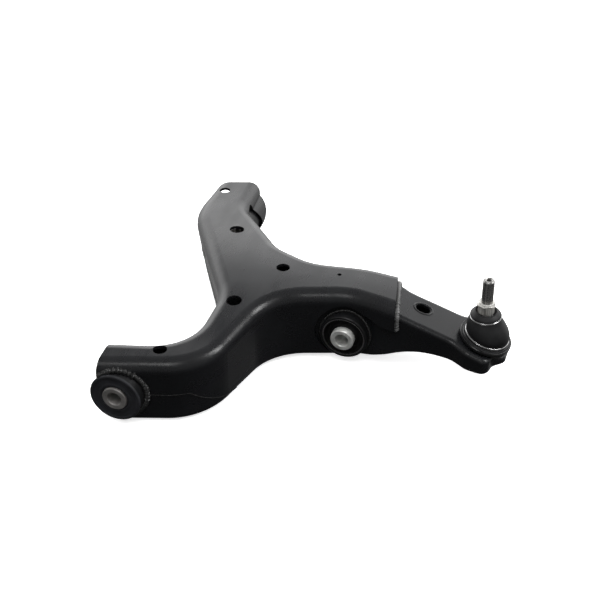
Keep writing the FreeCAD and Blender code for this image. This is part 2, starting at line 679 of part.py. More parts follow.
mid_axis = (housing_axis + Vector(0, 0, 1)).normalize()
boot_skin = soft_tube([
    (DIM["boot_base"], boot_foot - housing_axis * 1.5, housing_axis),
    (DIM["boot_base"], boot_foot, housing_axis),
    (DIM["boot_base"] + 0.8, boot_foot + mid_axis * 6.0, mid_axis),
    (DIM["boot_base"] - 1.0, boot_foot + mid_axis * 11.0, mid_axis),
    (DIM["boot_neck"] + 1.2, boot_head - Vector(0, 0, 3.0), Vector(0, 0, 1)),
    (DIM["boot_neck"], boot_head, Vector(0, 0, 1)),
    (DIM["boot_neck"], boot_head + Vector(0, 0, 3.2), Vector(0, 0, 1)),
])
boot_room = soft_tube([
    (DIM["boot_base"] - 4.0, boot_foot - housing_axis * 2.5, housing_axis),
    (DIM["boot_base"] - 2.6, boot_foot, housing_axis),
    (DIM["boot_base"] - 1.6, boot_foot + mid_axis * 6.0, mid_axis),
    (DIM["boot_base"] - 3.4, boot_foot + mid_axis * 11.0, mid_axis),
    (DIM["boot_neck"] - 1.2, boot_head - Vector(0, 0, 3.6), Vector(0, 0, 1)),
    (DIM["boot_neck"] - 2.4, boot_head, Vector(0, 0, 1)),
    (DIM["boot_neck"] - 2.4, boot_head + Vector(0, 0, 4.2), Vector(0, 0, 1)),
])
ring_wire = DIM["ring_wire"]
neck_groove = Part.makeTorus(
    DIM["boot_neck"] + ring_wire - 0.2, ring_wire, boot_head, Vector(0, 0, 1))
foot_groove = Part.makeTorus(
    DIM["boot_base"] + ring_wire - 0.2, ring_wire, boot_foot, housing_axis)
dust_boot = doc.addObject("Part::Feature", "dust_boot")
dust_boot.Shape = largest(boot_skin.cut(boot_room).cut(neck_groove).cut(foot_groove))
keep(dust_boot, "dust_boot")

# Sealing insert of the boot neck: sits round the stud below the collar.
insert_spot = Placement(boot_head - Vector(0, 0, 3.2), Rotation())
turned("boot_neck_insert", [
    ("collar_radius + 0.2", "2.0"), ("boot_neck - 2.9", "2.0"), ("boot_neck - 2.9", "6.2"),
    ("boot_neck - 4.1", "6.2"), ("boot_neck - 4.1", "3.2"), ("collar_radius + 0.2", "3.2"),
], insert_spot)

upper_ring = primitive("Part::Torus", "boot_upper_ring_torus", None,
                       Radius1="boot_neck + ring_wire - 0.2", Radius2="ring_wire")
keep(upper_ring, "boot_upper_ring", Placement(boot_head, Rotation()))
lower_ring = primitive("Part::Torus", "boot_lower_ring_torus", None,
                       Radius1="boot_base + ring_wire - 0.2", Radius2="ring_wire")
keep(lower_ring, "boot_lower_ring", Placement(boot_foot, housing_turn))


# ---------------------------------------------------------------- weld beads
def wall_slab(x, y, angle, depth, low=-60.0, high=60.0):
    """Slab of the given depth lying on the -Y side of a wall line through (x, y)."""
    slab = Part.makeBox(160, depth, high - low, Vector(-80, -depth, low))
    slab.rotate(Vector(), Vector(0, 0, 1), angle)
    slab.translate(Vector(x, y, 0))
    return slab


front_rise = (ARM_PLAN[1][1] - ARM_PLAN[0][1]) / (ARM_PLAN[1][0] - ARM_PLAN[0][0])
front_line_y = ARM_PLAN[0][1] - ARM_PLAN[0][0] * front_rise
axis_start = Vector(0, -30, 0)
axis_end = Vector(0, 60, 0)
bead = rod(DIM["front_tube"] + DIM["weld_depth"], axis_start, axis_end)
bead = bead.cut(rod(DIM["front_tube"], axis_start, axis_end))
bead = bead.common(wall_slab(0, front_line_y, math.degrees(math.atan(front_rise)), DIM["weld_depth"]))
bead = bead.cut(Part.makeBox(60, 200, 200, Vector(DIM["leg_end_x"] - 60, -60, -100)))
front_weld = doc.addObject("Part::Feature", "front_weld")
before_flange = Part.makeBox(160, 60, 120, Vector(-80, DIM["front_disc_thick"] + 0.2 - 60.0, -60))
front_weld.Shape = largest(bead.cut(before_flange))
keep(front_weld, "front_weld")

strut_low = Vector(DIM["strut_x"], 174.0, DIM["strut_z"])
strut_high = Vector(DIM["strut_x"], 183.0, DIM["strut_z"])
bead = rod(DIM["strut_tube"] + DIM["strut_weld_rise"], strut_low, strut_high)
bead = bead.cut(rod(DIM["strut_tube"], strut_low, strut_high)).cut(ext_outer)
strut_weld = doc.addObject("Part::Feature", "strut_weld")
strut_weld.Shape = largest(bead.cut(upper_shell.Shape).cut(lower_shell.Shape))
keep(strut_weld, "strut_weld")

# Fillet weld along the outer end of the upper shell, on the extension.
bead = extension_solid(-DIM["extension_weld_rise"]).cut(ext_outer)
bead = bead.common(open_end(160.0, 0.0, DIM["shell_end_turn"], SHELL_END + Vector(0.1, 0, 0)))
bead = bead.cut(open_end(160.0, 0.0, DIM["shell_end_turn"], SHELL_END + Vector(3.3, 0.7, 0)))
bead = bead.cut(Part.makeBox(200, 200, 112.0, Vector(150.0, 100.0, -100.0)))
extension_weld = doc.addObject("Part::Feature", "extension_weld")
extension_weld.Shape = largest(bead.cut(upper_shell.Shape))
keep(extension_weld, "extension_weld")

# ---------------------------------------------------------------- check and write
doc.recompute()
for item in doc.Objects:
    if "Invalid" in item.State or "Error" in item.State:
        raise RuntimeError("%s is %s" % (item.Name, item.State))
for part in SUBPARTS:
    if part.Shape.isNull() or not part.Shape.isValid():
        raise RuntimeError("%s has no valid shape" % part.Label)

os.makedirs("parts", exist_ok=True)
for part in SUBPARTS:
    part.Shape.exportStep("parts/%s.step" % part.Label)
    box = part.Shape.BoundBox
    print("%-22s solids %d  volume %9.1f  x %.1f..%.1f  y %.1f..%.1f  z %.1f..%.1f" % (
        part.Label, len(part.Shape.Solids), part.Shape.Volume,
        box.XMin, box.XMax, box.YMin, box.YMax, box.ZMin, box.ZMax))
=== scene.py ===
import json
import math

import bmesh
import bpy
from mathutils import Matrix, Vector, noise
from mathutils.bvhtree import BVHTree


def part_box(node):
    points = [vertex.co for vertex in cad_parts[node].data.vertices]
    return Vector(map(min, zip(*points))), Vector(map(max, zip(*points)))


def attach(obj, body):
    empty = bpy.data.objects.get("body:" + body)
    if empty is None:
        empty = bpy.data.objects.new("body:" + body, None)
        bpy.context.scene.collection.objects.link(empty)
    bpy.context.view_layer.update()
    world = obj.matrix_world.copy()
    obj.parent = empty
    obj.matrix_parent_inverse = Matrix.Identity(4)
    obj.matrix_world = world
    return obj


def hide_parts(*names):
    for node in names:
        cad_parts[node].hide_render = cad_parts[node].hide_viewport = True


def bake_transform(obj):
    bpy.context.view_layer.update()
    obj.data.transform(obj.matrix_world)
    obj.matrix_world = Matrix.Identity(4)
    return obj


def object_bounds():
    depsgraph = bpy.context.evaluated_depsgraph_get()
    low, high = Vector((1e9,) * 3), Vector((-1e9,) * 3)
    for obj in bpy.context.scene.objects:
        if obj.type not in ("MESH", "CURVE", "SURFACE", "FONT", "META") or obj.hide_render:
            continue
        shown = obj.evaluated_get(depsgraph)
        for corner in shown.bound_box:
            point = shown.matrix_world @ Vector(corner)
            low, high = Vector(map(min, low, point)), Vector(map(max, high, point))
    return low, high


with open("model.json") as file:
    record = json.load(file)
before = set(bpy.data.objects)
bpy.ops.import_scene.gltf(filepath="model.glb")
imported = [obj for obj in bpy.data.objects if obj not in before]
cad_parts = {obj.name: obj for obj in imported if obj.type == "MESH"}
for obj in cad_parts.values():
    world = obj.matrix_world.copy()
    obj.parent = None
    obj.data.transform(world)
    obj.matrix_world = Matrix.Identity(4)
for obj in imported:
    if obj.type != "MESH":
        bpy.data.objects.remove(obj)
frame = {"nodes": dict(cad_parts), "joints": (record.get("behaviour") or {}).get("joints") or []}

cad_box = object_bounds()
MM = 0.001
UP = Vector((0.0, 0.0, 1.0))


# ------------------------------------------------------------------ materials
NOISE_LOW = 0.3         # most of a noise texture's values lie between these two
NOISE_HIGH = 0.7
LIGHT_FROM = 0.72       # noise value from which paint and rubber show their light tone
WHITE = (1.0, 1.0, 1.0, 1.0)
BLACK = (0.0, 0.0, 0.0, 1.0)


class Nodes:
    """Short calls for building a node tree."""

    def __init__(self, tree):
        self.tree = tree

    def add(self, kind, **settings):
        node = self.tree.nodes.new(kind)
        for key, value in settings.items():
            setattr(node, key, value)
        return node

    def link(self, a, b):
        self.tree.links.new(a, b)

    def ramp(self, source, stops):
        """Colours by a value, from (value, colour) stops."""
        node = self.add("ShaderNodeValToRGB")
        ramp = node.color_ramp
        while len(ramp.elements) < len(stops):
            ramp.elements.new(0.5)
        for element, (place, colour) in zip(ramp.elements, stops):
            element.position = place
            element.color = tuple(colour) + (1.0,)
        self.link(source, node.inputs["Fac"])
        return node


class Surface(Nodes):
    """A new material, and calls that feed its Principled shader."""

    def __init__(self, name):
        self.mat = bpy.data.materials.new(name)
        self.mat.use_nodes = True
        super().__init__(self.mat.node_tree)
        self.bsdf = self.tree.nodes["Principled BSDF"]

    def fix(self, socket, value):
        """Set one of the shader's own inputs."""
        self.bsdf.inputs[socket].default_value = value

    def feed(self, socket, output):
        """Link an output to one of the shader's inputs."""
        self.link(output, self.bsdf.inputs[socket])

    def noise(self, scale, detail=3.0, rough=0.55, stretch=None):
        """Noise in the object's own coordinates; a stretch below 1 draws it out along that axis."""
        coord = self.add("ShaderNodeTexCoord")
        source = coord.outputs["Object"]
        if stretch is not None:
            mapping = self.add("ShaderNodeMapping")
            mapping.inputs["Scale"].default_value = stretch
            self.link(source, mapping.inputs["Vector"])
            source = mapping.outputs["Vector"]
        node = self.add("ShaderNodeTexNoise")
        node.inputs["Scale"].default_value = scale
        node.inputs["Detail"].default_value = detail
        node.inputs["Roughness"].default_value = rough
        self.link(source, node.inputs["Vector"])
        return node

    def roughness(self, source, low, high):
        """Roughness between two values, following a noise."""
        node = self.add("ShaderNodeMapRange")
        node.inputs["From Min"].default_value = NOISE_LOW
        node.inputs["From Max"].default_value = NOISE_HIGH
        node.inputs["To Min"].default_value = low
        node.inputs["To Max"].default_value = high
        self.link(source, node.inputs["Value"])
        self.feed("Roughness", node.outputs["Result"])

    def bump(self, source, strength, distance, normal=None):
        node = self.add("ShaderNodeBump")
        node.inputs["Strength"].default_value = strength
        node.inputs["Distance"].default_value = distance
        self.link(source, node.inputs["Height"])
        if normal is not None:
            self.link(normal, node.inputs["Normal"])
        return node


def grey(value, blue=0.0):
    """Grey, or with blue above 0 a slightly cold one."""
    return (value * (1 - blue), value * (1 - blue * 0.6), value * (1 + blue))


def satin_paint(name, dark, light, rough=0.3, specular=0.35, peel=0.1, dust=0.0):
    """Electrocoat: satin black, slow mottling, faint orange peel, a trace of pale dust."""
    n = Surface(name)
    slow = n.noise(14.0, 5.0)
    drawn = n.noise(60.0, 3.0, 0.6, (1.0, 0.25, 1.0))
    fine = n.noise(1400.0, 2.0)
    skin = n.noise(420.0, 1.0)
    tone = n.ramp(slow.outputs["Fac"], [(NOISE_LOW, dark), (LIGHT_FROM, light)])
    speck = n.ramp(fine.outputs["Fac"], [(0.62, (0, 0, 0)), (0.8, (dust, dust, dust))])
    mixed = n.add("ShaderNodeMix", data_type="RGBA", blend_type="ADD")
    mixed.inputs["Factor"].default_value = 1.0
    n.link(tone.outputs["Color"], mixed.inputs["A"])
    n.link(speck.outputs["Color"], mixed.inputs["B"])
    n.feed("Base Color", mixed.outputs["Result"])
    n.roughness(drawn.outputs["Fac"], rough - 0.05, rough + 0.07)
    n.feed("Normal", n.bump(skin.outputs["Fac"], peel, 0.00025).outputs["Normal"])
    n.fix("Specular IOR Level", specular)
    return n.mat


def rubber(name, dark, light, rough=0.6, grain=1800.0, bump=0.15, specular=0.35):
    """Moulded rubber: matt, slightly bloomed, with a fine grain."""
    n = Surface(name)
    slow = n.noise(60.0, 5.0)
    fine = n.noise(grain, 3.0)
    tone = n.ramp(slow.outputs["Fac"], [(NOISE_LOW, dark), (LIGHT_FROM, light)])
    n.feed("Base Color", tone.outputs["Color"])
    n.roughness(slow.outputs["Fac"], rough - 0.08, rough + 0.1)
    n.feed("Normal", n.bump(fine.outputs["Fac"], bump, 0.0002).outputs["Normal"])
    n.fix("Specular IOR Level", specular)
    return n.mat


def metal(name, dark, light, rough, axis="Y", rings=900.0, metallic=1.0, blotch=60.0,
          drawn=None):
    """Turned or plated metal: fine tool marks along an axis, with slow blotches of tone; drawn
    stretches the tone into streaks of painted reflection.
    """
    n = Surface(name)
    coord = n.add("ShaderNodeTexCoord")
    split = n.add("ShaderNodeSeparateXYZ")
    n.link(coord.outputs["Object"], split.inputs["Vector"])
    wave = n.add("ShaderNodeMath", operation="SINE")
    scaled = n.add("ShaderNodeMath", operation="MULTIPLY")
    scaled.inputs[1].default_value = rings * 2.0 * math.pi
    n.link(split.outputs[axis], scaled.inputs[0])
    n.link(scaled.outputs[0], wave.inputs[0])
    slow = n.noise(blotch, 4.0, 0.55, drawn)
    fine = n.noise(2500.0, 2.0)
    tone = n.ramp(slow.outputs["Fac"], [(NOISE_LOW, dark), (NOISE_HIGH, light)])
    n.feed("Base Color", tone.outputs["Color"])
    n.roughness(fine.outputs["Fac"], rough - 0.05, rough + 0.08)
    marks = n.bump(wave.outputs[0], 0.06, 0.00005)
    top = n.bump(fine.outputs["Fac"], 0.08, 0.00008, marks.outputs["Normal"])
    n.feed("Normal", top.outputs["Normal"])
    n.fix("Metallic", metallic)
    return n.mat


# Painted steel.
paint = satin_paint("arm_paint", grey(0.006, 0.08), grey(0.011, 0.08), rough=0.28,
                    specular=0.36, peel=0.05, dust=0.002)
tube_paint = satin_paint("tube_paint", grey(0.005, 0.05), grey(0.01, 0.05), rough=0.36)
weld_paint = satin_paint("weld_paint", grey(0.006), grey(0.02), rough=0.22, specular=0.55,
                         peel=0.5, dust=0.01)
# Bead at the shell's end: much lighter mottling and dense pale specks on the black paint.
pale_flecked = satin_paint("pale_flecked_weld", grey(0.008), grey(0.2), rough=0.4, specular=0.5,
                      peel=0.5, dust=0.25)
seam_paint = satin_paint("seam_sealer", grey(0.006), grey(0.012), rough=0.4, specular=0.3)
housing_mat = satin_paint("housing_coat", grey(0.006, 0.05), grey(0.014, 0.05), rough=0.3,
                          specular=0.45)

# Rubber and plastic.
bush_face = rubber("bush_face_rubber", grey(0.013, 0.1), grey(0.026, 0.1), rough=0.6)
bush_black = rubber("bush_black_rubber", grey(0.003), grey(0.008), rough=0.55)
boot_mat = rubber("boot_rubber_skin", grey(0.005, 0.04), grey(0.011, 0.04), rough=0.46,
                  grain=1500.0, bump=0.08, specular=0.28)
plastic = rubber("race_plastic_natural", (0.62, 0.6, 0.54), (0.72, 0.7, 0.64), rough=0.45,
                 grain=900.0, bump=0.05)

# Bare and plated metal.
dull_steel = metal("bush_can_steel", grey(0.16), grey(0.26), rough=0.36)
sleeve_ring = metal("strut_ring_steel", grey(0.3), grey(0.5), rough=0.28)
zinc = metal("sleeve_zinc", (0.18, 0.174, 0.168), (0.42, 0.405, 0.39), rough=0.42,
             rings=1600.0, metallic=0.6)
alloy = metal("sleeve_alloy", (0.5, 0.505, 0.485), (0.8, 0.805, 0.78), rough=0.38,
              rings=1600.0, metallic=0.5, blotch=140.0)
# The stud's tone, from near black to pale grey and drawn out along Z into vertical streaks, is
# painted reflection.
stud_mat = metal("stud_plate_painted_reflections", (0.08, 0.08, 0.078), (0.62, 0.61, 0.59), rough=0.26, axis="Z",
                 rings=1400.0, metallic=0.85, blotch=420.0, drawn=(1.0, 1.0, 0.04))
# The collar's tone, drawn out along Z into vertical streaks, is painted reflection too.
collar_mat = metal("collar_plate_painted_reflections", (0.3, 0.295, 0.28), (0.78, 0.77, 0.73), rough=0.34, axis="Z",
                   rings=300.0, metallic=0.5, blotch=420.0, drawn=(1.0, 1.0, 0.1))
wire_mat = metal("ring_wire_steel", grey(0.62), grey(0.78), rough=0.2, axis="Z")

FINISH = {
    "upper_shell": paint, "lower_shell": paint, "outer_extension": paint,
    "front_tube": tube_paint, "rear_tube": tube_paint, "strut_tube": tube_paint,
    "front_weld": weld_paint, "strut_weld": weld_paint, "extension_weld": weld_paint,
    "front_outer_sleeve": dull_steel, "rear_outer_sleeve": dull_steel,
    "strut_outer_sleeve": sleeve_ring, "front_rubber": bush_face, "rear_rubber": bush_face,
    "strut_rubber": bush_black, "front_inner_sleeve": zinc, "rear_inner_sleeve": zinc,
    "strut_inner_sleeve": alloy, "ball_joint_housing": housing_mat, "housing_cap": housing_mat,
    "ball_race": plastic, "ball_liner": plastic, "ball_stud": stud_mat, "dust_boot": boot_mat,
    "boot_neck_insert": dull_steel, "boot_upper_ring": wire_mat, "boot_lower_ring": wire_mat,
}
for node, mat in FINISH.items():
    for spot in frame["nodes"][node].material_slots:
        spot.material = mat


# ------------------------------------------------------------------ mesh helpers
def make_piece(name, points, faces, material, body):
    """Link a mesh of the points and faces as a piece that rides on a body, if one is named."""
    mesh = bpy.data.meshes.new(name)
    mesh.from_pydata([tuple(p) for p in points], [], faces)
    mesh.materials.append(material)
    mesh.update()
    shell = bmesh.new()
    shell.from_mesh(mesh)
    bmesh.ops.recalc_face_normals(shell, faces=shell.faces)
    shell.to_mesh(mesh)
    shell.free()
    for polygon in mesh.polygons:
        polygon.use_smooth = True
    piece = bpy.data.objects.new(name, mesh)
    bpy.context.scene.collection.objects.link(piece)
    if body:
        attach(piece, body)
    return piece


def sharpen(piece, angle):
    """Keep creases steeper than the angle in degrees crisp."""
    mesh = piece.data
    work = bmesh.new()
    work.from_mesh(mesh)
    for edge in work.edges:
        if len(edge.link_faces) == 2:
            edge.smooth = edge.calc_face_angle() < math.radians(angle)
    work.to_mesh(mesh)
    work.free()


def rows_to_faces(rows, columns, closed_rows):
    """Quads between neighbouring rows of a grid whose columns wrap round."""
    faces = []
    last = rows if closed_rows else rows - 1
    for i in range(last):
        nxt = (i + 1) % rows
        for j in range(columns):
            k = (j + 1) % columns
            faces.append((i * columns + j, i * columns + k, nxt * columns + k, nxt * columns + j))
    return faces


def rounded(profile, radius, steps=3):
    """Profile of (radius, height) corners in mm with each corner rounded off."""
    out = []
    count = len(profile)
    for i in range(count):
        before = Vector(profile[i - 1])
        here = Vector(profile[i])
        after = Vector(profile[(i + 1) % count])
        back = before - here
        ahead = after - here
        reach = min(radius, back.length * 0.45, ahead.length * 0.45)
        start = here + back.normalized() * reach
        finish = here + ahead.normalized() * reach
        for step in range(steps + 1):
            t = step / steps
            out.append(start * (1 - t) ** 2 + here * 2 * t * (1 - t) + finish * t ** 2)
    return out


def turned(name, profile, base, axis, material, body, soft, columns=128, bend=None):
    """Closed solid of revolution of a (radius, height) profile in mm about an axis.

    Corners are rounded by soft mm, and bend(radius, height, angle) may change a radius.
    """
    axis = Vector(axis).normalized()
    side = axis.orthogonal().normalized()
    other = axis.cross(side)
    ring = rounded(profile, soft)
    points = []
    for r, height in ring:
        for j in range(columns):
            angle = 2.0 * math.pi * j / columns
            reach = r if bend is None else bend(r, height, angle)
            out = side * math.cos(angle) + other * math.sin(angle)
            points.append(base + (out * reach + axis * height) * MM)
    faces = rows_to_faces(len(ring), columns, True)
    piece = make_piece(name, points, faces, material, body)
    sharpen(piece, 40.0)
    return piece


def resample(path, step, closed):
    """Even points along a polyline."""
    points = list(path) + ([path[0]] if closed else [])
    lengths = [0.0]
    for a, b in zip(points, points[1:]):
        lengths.append(lengths[-1] + (b - a).length)
    count = max(4, int(lengths[-1] / step))
    out = []
    place = 0
    for i in range(count if closed else count + 1):
        goal = lengths[-1] * i / count
        while place < len(lengths) - 2 and lengths[place + 1] < goal:
            place += 1
        span = max(lengths[place + 1] - lengths[place], 1e-9)
        out.append(points[place].lerp(points[place + 1], (goal - lengths[place]) / span))
    return out


def smooth_path(path, rounds, closed):
    """Move each point towards its neighbours; the ends of an open path stay."""
    for _ in range(rounds):
        fresh = list(path)
        count = len(path)
        for i in range(count):
            if not closed and i in (0, count - 1):
                continue
            fresh[i] = (path[i - 1] + path[i] * 2 + path[(i + 1) % count]) / 4
        path = fresh
    return path


BEAD_STEP = 0.35 * MM   # distance between a bead's rings


def bead(name, path, radius, material, body, ripple, wander, closed=False, pitch=1.5,
         columns=12, seed=1.0):
    """Weld bead or wire: a tube along a path, with overlapping ripples and a little unevenness."""
    step = BEAD_STEP
    path = smooth_path(resample(path, step, closed), 6, closed)
    count = len(path)
    points = []
    frame_side = None
    for i, spot in enumerate(path):
        ahead = path[(i + 1) % count] if closed or i < count - 1 else path[i]
        behind = path[i - 1] if closed or i > 0 else path[i]
        along = (ahead - behind).normalized()
        if frame_side is None:
            frame_side = along.orthogonal().normalized()
        frame_side = (frame_side - along * frame_side.dot(along)).normalized()
        other = along.cross(frame_side)
        travel = i * step / (pitch * MM)
        wave = abs(math.sin(travel * math.pi + seed))
        rough = noise.noise(Vector((travel * 0.7, seed * 3.1, 0.0)))
        swell = 1.0 + ripple * (wave - 0.6) + wander * rough
        if not closed:
            swell *= min(1.0, math.sqrt(min(i, count - 1 - i) * step / (radius * MM) + 0.02))
        for j in range(columns):
            angle = 2.0 * math.pi * j / columns
            lag = 0.25 * radius * MM * ripple * 4.0 * math.cos(angle)
            out = frame_side * math.cos(angle) + other * math.sin(angle)
            points.append(spot + out * radius * MM * swell + along * lag)
    faces = rows_to_faces(count, columns, closed)
    if not closed:
        faces.append(tuple(range(columns)))
        faces.append(tuple(range((count - 1) * columns, count * columns)))
    return make_piece(name, points, faces, material, body)


def surface_of(*names):
    """Ray-casting tree over CAD nodes."""
    points = []
    faces = []
    for name in names:
        mesh = frame["nodes"][name].data
        shift = len(points)
        points += [v.co.copy() for v in mesh.vertices]
        faces += [tuple(shift + v for v in p.vertices) for p in mesh.polygons]
    return BVHTree.FromPolygons(points, faces)


X, Y = 0, 1
LOW, HIGH = 0, 1


def middle(node):
    """Centre of a CAD node's box."""
    low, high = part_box(node)
    return (Vector(low) + Vector(high)) / 2.0


def extent(node, side, axis):
    """Lowest or highest place of a CAD node along an axis."""
    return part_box(node)[side][axis]


def tube_radius(node):
    """Outer radius of a CAD tube that lies along Y."""
    return (extent(node, HIGH, X) - extent(node, LOW, X)) / 2.0


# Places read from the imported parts.
ball = next(Vector(joint["pos_m"]) for joint in frame["joints"] if joint["name"] == "stud_spin")
bush_axis = Vector((0.0, 0.0, 0.0))
strut_axis = middle("strut_tube")
front_face = extent("front_rubber", LOW, Y)
rear_face = extent("rear_rubber", HIGH, Y)
shells = surface_of("upper_shell", "lower_shell")
all_walls = surface_of("upper_shell", "lower_shell", "outer_extension")
extension_wall = surface_of("outer_extension")


# ------------------------------------------------------------------ weld beads
FORWARD = -1.0          # direction of a ray along Y
BACKWARD = 1.0
STRAY_RUN = 5           # a run of this many hits or fewer is left out
RAY_REACH = 0.6         # more than the arm's length, in metres


def runs_of(hits, gap):
    """Split a list of points or None into runs with no break longer than gap."""
    runs = [[]]
    for hit in hits:
        if hit is None or (runs[-1] and (hit - runs[-1][-1]).length > gap):
            runs.append([])
        if hit is not None:
            runs[-1].append(hit)
    return [run for run in runs if len(run) > STRAY_RUN]


def ring_hits(tree, axis_spot, radius, start_y, direction, low_y, high_y, first):
    """Points where rays along Y, set round an axis from a first angle, meet a wall."""
    hits = []
    for degree in range(361):
        angle = math.radians(degree + first)
        start = Vector((axis_spot.x + radius * math.cos(angle), start_y,
                        axis_spot.z + radius * math.sin(angle)))
        place = tree.ray_cast(start, Vector((0.0, direction, 0.0)), RAY_REACH)[0]
        inside = place is not None and low_y < place.y < high_y
        hits.append(place if inside else None)
    return hits


def weld_set(name, hits, radius, node, seed, gap=0.004, ripple=0.22, wander=0.3,
             material=weld_paint):
    """One bead for each run of hits; the CAD weld, if one is named, is hidden once a bead is made.
    """
    pieces = []
    for i, run in enumerate(runs_of(hits, gap)):
        pieces.append(bead("%s_%d" % (name, i + 1), run, radius, material, "arm",
                           ripple=ripple, wander=wander, seed=seed + i))
    if node and pieces:
        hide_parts(node)


front_hits = ring_hits(shells, bush_axis, tube_radius("front_tube") + 1.6 * MM,
                       front_face - 0.02, BACKWARD, 0.0, 0.03, 225.0)
weld_set("front_tube_bead", front_hits, 3.3, "front_weld", 1.0, gap=0.006, ripple=0.28,
         wander=0.6)
rear_hits = ring_hits(shells, bush_axis, tube_radius("rear_tube") + 0.9 * MM,
                      rear_face + 0.05, FORWARD, rear_face - 0.06, rear_face + 0.03, 90.0)
weld_set("rear_tube_bead", rear_hits, 1.9, None, 5.0)

STRUT_BEAD = 2.0        # radius of the beads at the strut tube, in mm
strut_ring = tube_radius("strut_tube") + 0.8 * MM
near_hits = ring_hits(all_walls, strut_axis, strut_ring, extent("strut_tube", LOW, Y) - 0.01,
                      BACKWARD, 0.168, 0.19, -60.0)
weld_set("strut_tube_bead", near_hits, STRUT_BEAD, "strut_weld", 9.0)
far_hits = ring_hits(all_walls, strut_axis, strut_ring, extent("strut_tube", HIGH, Y) + 0.01,
                     FORWARD, 0.21, 0.24, -60.0)
weld_set("strut_far_bead", far_hits, STRUT_BEAD, None, 13.0)

# Bead along the upper shell's outer end, laid on the extension.
END_SPOT = Vector((0.2322, 0.2, 0.012))         # inside the extension, under the shell's end
END_ALONG = Vector((-0.208, 0.978, 0.0))        # along that end
END_RAY = 0.08                                  # the rays start this far out
END_LIFT = 1.0                                  # the bead stands this proud, in mm
END_ANGLES = range(7, 173)                      # degrees, from one lower edge to the other

end_hits = []
for degree in END_ANGLES:
    angle = math.radians(degree)
    out = END_ALONG * math.cos(angle) * -1.0 + UP * math.sin(angle)
    start = END_SPOT + out * END_RAY
    place = extension_wall.ray_cast(start, -out, 0.1)[0]
    end_hits.append(None if place is None else place + out * END_LIFT * MM)
weld_set("end_bead", end_hits, 2.8, "extension_weld", 17.0, gap=0.006, ripple=0.2, wander=0.35,
         material=pale_flecked)

# Sealed seam between the two shells, at one height except where the front wall steps down.
SEAM = -1.0 * MM
STEP_X = 66             # the seam falls from here on, in mm,
STEP_FALL = 26.5        # this far
STEP_RUN = 29.0         # over this length


def front_seam_height(x):
    """Height of the front seam at x in mm."""
    return SEAM if x < STEP_X else SEAM - (x - STEP_X) * MM * STEP_FALL / STEP_RUN


def seam_run(name, starts, direction, seed):
    """Thin uneven lip where rays from the starts meet the walls."""
    hits = [shells.ray_cast(start, direction, 0.4)[0] for start in starts]
    for i, run in enumerate(runs_of(hits, 0.012)):
        bead("%s_%d" % (name, i + 1), run, 0.55, seam_paint, "arm", ripple=0.1, pitch=2.2,
             wander=0.5, columns=8, seed=seed + i)


seam_run("front_seam", [Vector((x * MM, -0.08, front_seam_height(x))) for x in range(29, 96)],
         Vector((0.0, 1.0, 0.0)), 21.0)
seam_run("inboard_seam", [Vector((-0.15, y * MM, SEAM)) for y in range(70, 345)],
         Vector((1.0, 0.0, 0.0)), 25.0)
seam_run("outboard_seam", [Vector((0.25, y * MM, SEAM)) for y in range(235, 318)],
         Vector((-1.0, 0.0, 0.0)), 29.0)

# Raised lip round the oval hole in the extension's deck.
HOLE_X, HOLE_Y = 0.259, 0.202           # centre of the lip
LIP_X, LIP_Y = 9.6, 8.0                 # half its length and width, in mm
LIP_SINK = 0.55                         # its centre line lies this far under the deck, in mm
LIP_STEPS = 72

lip = []
for i in range(LIP_STEPS):
    angle = 2.0 * math.pi * i / LIP_STEPS
    above_deck = Vector((HOLE_X + LIP_X * MM * math.cos(angle),
                         HOLE_Y + LIP_Y * MM * math.sin(angle), 0.08))
    lip.append(extension_wall.ray_cast(above_deck, -UP, 0.1)[0])
bead("deck_hole_lip", [spot - UP * LIP_SINK * MM for spot in lip if spot], 1.3, paint, "arm",
     closed=True, ripple=0.0, wander=0.1)

# ------------------------------------------------------------------ bushes
# Each profile is (radius, depth) in mm: the moulded face first, then the back.
front_bush = turned("front_bush_rubber", [
    (13.15, 1.3), (14.0, 0.5), (15.6, 0.0), (17.2, 0.35), (18.0, 0.7), (23.0, 0.7), (23.8, 0.15),
    (25.4, 0.0), (26.6, 0.5), (27.0, 1.6), (26.8, 2.95), (21.9, 3.0), (21.9, 44.0), (18.5, 40.0),
    (15.5, 40.0), (13.1, 44.0)],
    Vector((0.0, front_face, 0.0)), (0, 1, 0), bush_face, "arm", soft=0.5)
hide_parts("front_rubber")

rear_bush = turned("rear_bush_rubber", [
    (13.15, 1.0), (14.0, 0.4), (15.4, 0.0), (21.0, 0.0), (23.6, 0.2), (24.5, 1.2), (24.4, 2.4),
    (20.4, 2.5), (20.4, 38.5), (17.5, 34.5), (15.4, 34.5), (13.1, 38.5)],
    Vector((0.0, rear_face, 0.0)), (0, -1, 0), bush_face, "arm", soft=0.5)
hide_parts("rear_rubber")

strut_near = Vector((strut_axis.x, extent("strut_tube", LOW, Y), strut_axis.z))
strut_bush = turned("strut_bush_rubber", [
    (12.6, 0.9), (13.6, 2.4), (14.6, 6.2), (16.6, 8.2), (18.8, 7.2), (20.4, 4.2), (21.45, 1.6),
    (21.45, 70.4), (20.4, 67.8), (18.8, 64.8), (16.6, 63.8), (14.6, 65.8), (13.6, 69.6),
    (12.6, 71.1)],
    strut_near, (0, 1, 0), bush_black, "arm", soft=1.0)
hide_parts("strut_rubber")

# ------------------------------------------------------------------ stud
COLLAR_RADIUS = 8.0
COLLAR_FOOT = 37.5      # heights above the ball between which the collar is serrated, in mm
COLLAR_TOP = 49.3
COLLAR_FLATS = 9.0      # half the number of flats round the collar
FLAT_DEPTH = 0.32
SOCKET_FROM = 70.0      # height of the socket's floor above the ball, in mm
SOCKET_HALF = 2.5       # half the hexagon's width across flats


def fluted(r, height, angle):
    """Serrated collar: shallow flats on an otherwise round profile."""
    if abs(r - COLLAR_RADIUS) > 0.05 or not COLLAR_FOOT < height < COLLAR_TOP:
        return r
    return r - FLAT_DEPTH * abs(math.sin(angle * COLLAR_FLATS)) ** 2


